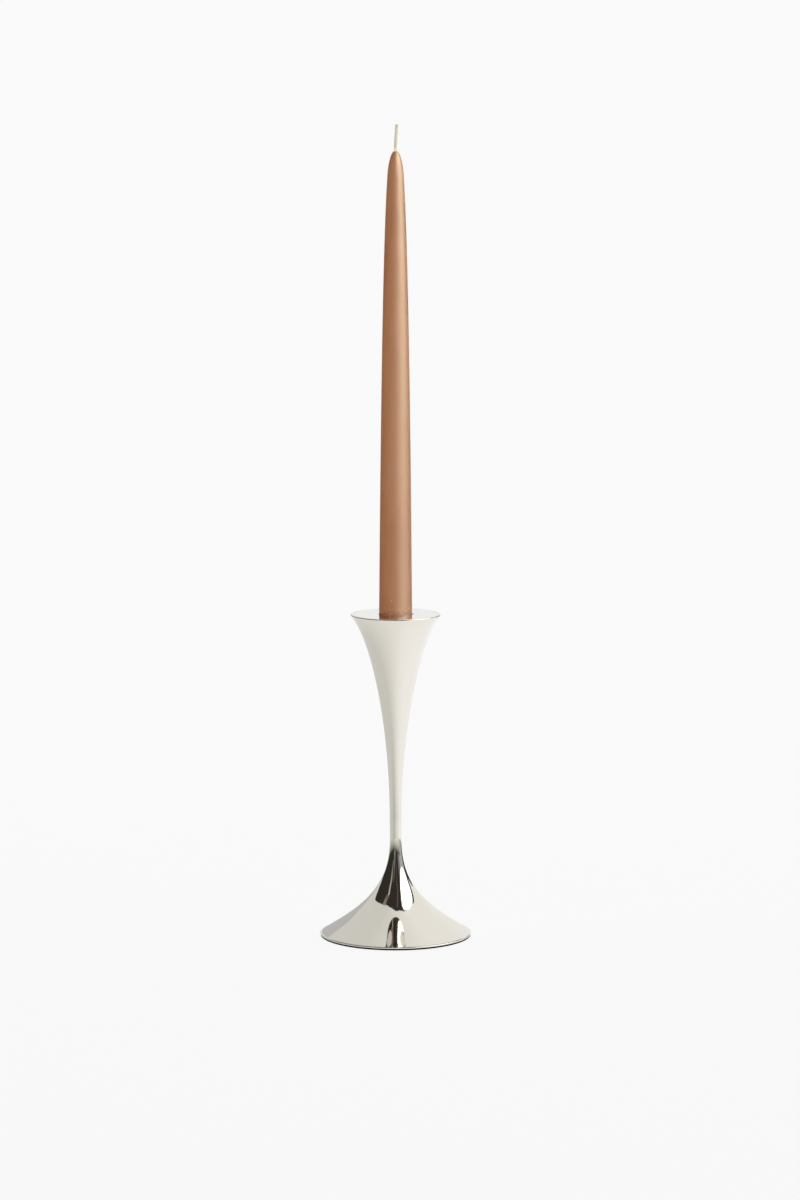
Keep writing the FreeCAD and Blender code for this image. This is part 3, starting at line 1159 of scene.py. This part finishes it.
PANELS = (
    Panel("dark_flag_left",
          ((-150, -11), (-136, -11), (-127, -11), (-120, -11), (-108, -11), (-92, -11), (-82, -11),
           (-70, -11), (-55, -11)),
          ((-150, 0), (-136, 10), (-127, 22), (-120, 36), (-108, 46), (-92, 57), (-82, 62),
           (-70, 67), (-55, 74)),
          "302e2c", "353230"),
    Panel("dark_flag_front",
          ((-55, -11), (-30, -11), (0, -11), (30, -11), (60, -11), (100, -11)),
          ((-55, 74), (-30, 80), (0, 83), (30, 82), (60, 78), (80, 74)),
          "35312f", "38322e"),
    Panel("dim_corner",
          ((-88, 60), (-76, 56), (-62, 53)),
          ((-76, 66), (-64, 62), (-46, 59)),
          "968a80", "6a635b", distance=3.95),
    Panel("grey_streak",
          ((-57, 57), (-54, 50), (-46, 36), (-45, 22), (-38, 8)),
          ((-47, 57), (-43, 50), (-33, 36), (-33, 22), (-26, 8)),
          "d2cabf", "75726c", distance=3.9),
    Panel("low_streak",
          ((-26, 42), (-22, 20), (-26, 5), (-32, -11)),
          ((-12, 42), (-8, 20), (-4, 5), (4, -11)),
          "4d4941", "8f8e86", distance=3.92),
    Panel("narrow_streak",
          ((12, 78), (11, 52), (4, 40), (2, -11)),
          ((22, 78), (21, 52), (16, 40), (10, -11)),
          "645b57", "45403c", distance=3.9),
    Panel("violet_board",
          ((29, -11), (46, -11), (62, -11), (78, -11)),
          ((37, 54), (44, 38), (56, 24), (74, 12)),
          "5f5c6a", "a9a8b2", distance=3.85),
    Panel("soft_box",
          ((44, 66), (40, 50), (43, 38), (50, 28), (61, 18), (76, 12), (98, 10)),
          ((55, 72), (75, 73), (93, 64), (101, 50), (106, 36), (109, 24), (110, 15)),
          "ffffff", "ffffff", strength=2.8, fade=0.16, distance=3.7, seen=Seen.METAL),
    Panel("soft_box_skirt",
          ((60, -11), (85, -11), (118, -11)),
          ((62, 30), (85, 17), (108, 22)),
          "b4b4bc", "b6b5bb", distance=3.75),
    Panel("far_table_edge",
          ((-150, -11.3), (-150, -3)),
          ((-20, -11.3), (-20, -3)),
          "dcddd9", "38322e", distance=3.6),
    Panel("far_table_edge_right",
          ((-20, -11.3), (-20, -3)),
          ((75, -11.3), (75, 1)),
          "f4f5ef", "45403d", distance=3.6),
    Panel("grey_wall_behind_left",
          ((-177, -11), (-177, 20)),
          ((-150, -11), (-151, 25)),
          "c1bfc3", "c8c6c9", distance=3.8),
    Panel("pale_wall_behind",
          ((173, 2), (173, 12)),
          ((187, 2), (187, 12)),
          "fafbff", "fafbff", distance=3.75),
    Panel("dark_edge_right",
          ((117, 10), (118, 5), (120, -4), (124, -11)),
          ((140, 12), (150, 5), (162, -5), (170, -11)),
          "2c2a28", "33312f", distance=3.65),
    Panel("thin_edge_right",
          ((102, 49), (106, 42), (110, 30), (112, 20), (117, 10)),
          ((105, 50), (110, 43), (116, 31), (121, 21), (128, 10)),
          "4b4947", "5a5856", distance=3.65),
    Panel("dark_flag_back",
          ((164, 15), (159, 30), (152, 50), (152, 60)),
          ((196, 15), (201, 30), (208, 50), (208, 60)),
          "3a3735", "3a3735"),
)


@dataclass
class Studio:
    """Pale floor and backdrop, the flags and soft box round the table, and the camera."""

    centre_z: float = 0.12
    floor_radius: float = 6.0
    dome_radius: float = 9.0
    table_radius: float = 2.35
    table_drop: float = 0.35
    backdrop: float = 0.953
    shadow_share: float = 0.062
    left_light: float = 0.74
    right_light: float = 0.98
    wall_turn: Point = (-0.3, 0.35)
    floor_drop: float = 0.0002
    shadow_paint: float = 0.15
    shadow_fade: tuple[Point, ...] = ((0.6, 1.0), (1.5, 0.0))
    table_across: tuple[Point, ...] = ((-0.8, 0.71), (-0.25, 0.88), (0.25, 1.03), (0.8, 1.08))
    table_away: tuple[Point, ...] = ((0.4, 1.0), (0.8, 0.98), (1.7, 0.83), (2.4, 0.72))
    table_blue: tuple[Point, ...] = ((-0.2, 1.0), (0.8, 1.04))
    candle_z: float = 0.36
    lens_mm: float = 122.49
    film_mm: float = 36.0
    camera_at: tuple[float, float, float] = (0.00287, -2.650, 0.57595)
    camera_tilt: float = 7.581

    def glow_material(self, name: str, diffuse: float = 0.0,
                      clear: bool = False) -> bpy.types.Material:
        """Material that gives off the colour stored at each point of the mesh.

        Args:
            name: name of the material.
            diffuse: share of grey paint added, which takes shadows.
            clear: whether what lies behind shows through.

        Returns:
            The material.
        """
        material, tree = new_material(name)
        colour = add_node(tree, "Attribute", {"attribute_name": "glow"})
        shader = add_node(tree, "Emission", links={"Color": colour.outputs["Color"]})
        if diffuse:
            # Painted share: the stored alpha fades it out far from the object.
            share = add_node(tree, "Math", {"operation": "MULTIPLY"}, values={1: diffuse},
                             links={0: colour.outputs["Alpha"]})
            paint = add_node(tree, "BsdfDiffuse", links={"Color": share.outputs["Value"]})
            both = add_node(tree, "AddShader", links={0: shader.outputs[0], 1: paint.outputs[0]})
            # One-sided, so that the underside can be looked at from below.
            below = add_node(tree, "BsdfTransparent")
            side = add_node(tree, "NewGeometry")
            shader = add_node(tree, "MixShader", links={0: side.outputs["Backfacing"],
                                                        1: both.outputs[0], 2: below.outputs[0]})
        if clear:
            open_air = add_node(tree, "BsdfTransparent")
            shader = add_node(tree, "AddShader", links={0: shader.outputs[0], 1: open_air.outputs[0]})
        finish_material(tree, shader)
        return material

    def place(self, name: str, points: np.ndarray, faces: np.ndarray, glow: np.ndarray,
              seen: Seen, material: bpy.types.Material) -> bpy.types.Object:
        """Add one glowing surface to the stage.

        Args:
            name: name of the object.
            points: vertices in metres.
            faces: corner numbers.
            glow: linear colour of each vertex.
            seen: which rays meet it.
            material: glow material.

        Returns:
            The surface.
        """
        surface = mesh_object(name, points, faces)
        layer = surface.data.attributes.new("glow", "FLOAT_COLOR", "POINT")
        layer.data.foreach_set("color", glow.astype(np.float32).ravel())
        surface.data.materials.append(material)
        surface.visible_camera = seen is Seen.VIEWER
        surface.visible_glossy = seen is not Seen.VIEWER
        surface.visible_diffuse = seen is Seen.LIGHT
        surface.visible_transmission = seen is Seen.LIGHT
        surface.visible_shadow = seen is Seen.LIGHT
        return surface

    def place_panel(self, panel: Panel, material: bpy.types.Material) -> bpy.types.Object:
        """Add one flag, card or soft box.

        Args:
            panel: where it stands and how it glows.
            material: glow material.

        Returns:
            The surface.
        """
        points, colours = panel.surface(self.centre_z)
        size = math.isqrt(len(points))
        first = np.arange(size - 1)[:, None] * size + np.arange(size - 1)
        faces = np.stack([first, first + 1, first + size + 1, first + size], axis=-1)
        return self.place(panel.name, points, faces.reshape(-1, 4), colours, panel.seen, material)

    def disc(self, radius: float, height: float) -> tuple[np.ndarray, np.ndarray, np.ndarray]:
        """Level disc of rings: radius times cosine and sine of the turn.

        Args:
            radius: outer radius in metres.
            height: height in metres.

        Returns:
            Points, faces, and the distance of each point from the axis.
        """
        rings = np.concatenate([[0.0005], np.geomspace(0.02, radius, 60)])
        turn = np.linspace(0.0, 2 * math.pi, 96, endpoint=False)
        x = rings[:, None] * np.cos(turn)
        y = rings[:, None] * np.sin(turn)
        points = np.stack([x, y, np.full_like(x, height)], axis=-1).reshape(-1, 3)
        faces = grid_faces(len(rings), len(turn))[:, ::-1]
        return points, faces, np.hypot(points[:, 0], points[:, 1])

    def build_floor(self) -> None:
        """Floor as the viewer sees it, and the table top as the metal sees it."""
        points, faces, reach = self.disc(self.floor_radius, -self.floor_drop)
        near = along_knots(reach, self.shadow_fade)
        glow = self.backdrop - self.shadow_share * near
        floor = self.glow_material("matt_white_floor", self.shadow_paint)
        self.place("floor", points, faces, np.column_stack([glow, glow, glow, near]), Seen.VIEWER, floor)
        points, faces, reach = self.disc(self.table_radius, -self.table_drop)
        glow = along_knots(points[:, 0], self.table_across) * along_knots(-points[:, 1], self.table_away)
        blue = glow * along_knots(points[:, 0], self.table_blue)
        self.place("table_top", points, faces, np.column_stack([glow, glow, blue, np.ones_like(glow)]),
                   Seen.METAL, self.glow_material("white_table_top"))

    def build_backdrop(self) -> None:
        """Pale dome that only the viewer sees: radius times the direction, pole to pole."""
        polar = np.radians(np.linspace(-89.9, 89.9, 40))[:, None]
        turn = np.linspace(0.0, 2 * math.pi, 64, endpoint=False)
        points = self.dome_radius * np.stack([np.cos(polar) * np.cos(turn),
                                              np.cos(polar) * np.sin(turn),
                                              np.sin(polar) + 0 * turn], axis=-1).reshape(-1, 3)
        glow = np.tile([self.backdrop, self.backdrop, self.backdrop, 1.0], (len(points), 1))
        self.place("backdrop", points, grid_faces(40, 64), glow, Seen.VIEWER,
                   self.glow_material("pale_backdrop"))

    def build_world(self) -> None:
        """White surroundings, dimmer on the left, that light the object but aren't seen."""
        world = bpy.data.worlds.new("white_studio_walls")
        world.use_nodes = True
        tree = world.node_tree
        tree.nodes.clear()
        direction = add_node(tree, "TexCoord")
        across = add_node(tree, "SeparateXYZ", links={"Vector": direction.outputs["Generated"]})
        strength = add_node(tree, "MapRange",
                            values={"From Min": self.wall_turn[0], "From Max": self.wall_turn[1],
                                    "To Min": self.left_light, "To Max": self.right_light},
                            links={"Value": across.outputs["X"]})
        walls = add_node(tree, "Background", values={"Color": (1.0, 1.0, 1.0, 1.0)},
                         links={"Strength": strength.outputs["Result"]})
        add_node(tree, "OutputWorld", links={"Surface": walls.outputs[0]})
        world.cycles_visibility.camera = False
        bpy.context.scene.world = world

    def build_camera(self) -> None:
        """Long lens, a little above the candle's middle and looking slightly down."""
        lens = bpy.data.cameras.new("long_lens")
        lens.lens = self.lens_mm
        lens.sensor_width = self.film_mm
        lens.clip_end = 50.0
        camera = bpy.data.objects.new("camera", lens)
        camera.location = self.camera_at
        camera.rotation_euler = (math.radians(90 - self.camera_tilt), 0.0, 0.0)
        bpy.context.scene.collection.objects.link(camera)
        bpy.context.scene.camera = camera

    def light_top(self, top: bpy.types.Object) -> None:
        """Card round the front that only the flat top mirrors, so that it isn't black from behind.

        The card is clear and adds its light to what stands behind it. It reaches past the dark flags,
        and from the sides where it stands before the pale walls the top burns out to white.

        Args:
            top: the flat top.
        """
        group = bpy.data.collections.new("flat_top_pieces")
        group.objects.link(top)
        card = self.place_panel(TOP_CARD, self.glow_material("pale_card", clear=True))
        card.light_linking.receiver_collection = group

    def light_candle(self, pieces: list[bpy.types.Object]) -> None:
        """Soft lights kept to the candle: a sheen from the right and a fill from the front.

        Args:
            pieces: the objects that they light.
        """
        group = bpy.data.collections.new("candle_pieces")
        for piece in pieces:
            group.objects.link(piece)
        for lamp in LAMPS:
            data = bpy.data.lights.new(lamp.name, "AREA")
            data.shape = "RECTANGLE"
            data.size, data.size_y = lamp.width, lamp.height
            data.energy = lamp.radiance * math.pi * lamp.width * lamp.height
            data.color = linear(lamp.colour)[:3]
            light = bpy.data.objects.new(lamp.name, data)
            azimuth, elevation = math.radians(lamp.azimuth), math.radians(lamp.elevation)
            away = Vector((math.sin(azimuth) * math.cos(elevation),
                           -math.cos(azimuth) * math.cos(elevation), math.sin(elevation)))
            light.location = Vector((0, 0, self.candle_z)) + lamp.distance * away
            light.rotation_euler = away.to_track_quat("Z", "Y").to_euler()
            light.visible_camera = False
            light.visible_glossy = lamp.gloss
            light.visible_diffuse = not lamp.gloss
            bpy.context.scene.collection.objects.link(light)
            light.light_linking.receiver_collection = group

    def build(self) -> None:
        """Set up the camera, the floor, the backdrop, the panels and the walls."""
        self.build_camera()
        self.build_floor()
        self.build_backdrop()
        glow = self.glow_material("studio_panel")
        for panel in PANELS:
            self.place_panel(panel, glow)
        self.build_world()
        bpy.context.scene.view_settings.view_transform = "Standard"


# ---------------------------------------------------------------- putting it together


def main() -> None:
    """Build the studio and every piece of the candlestick and its candle."""
    logging.basicConfig(level=logging.INFO, format="%(message)s")
    studio = Studio()
    studio.build()
    plate = PolishedPlate().material()
    TrumpetFoot().build(plate)
    top = StemAndBell().build(plate)
    Underside().build(FoamPad().material(), ZincSteel().material(), SandCastIron().material())
    wax = DyedWax().material()
    candle = TaperCandle().build(wax, WhiteWax().material(), CottonWick().material())
    studio.light_candle(candle)
    studio.light_top(top)


if __name__ == "__main__":
    main()
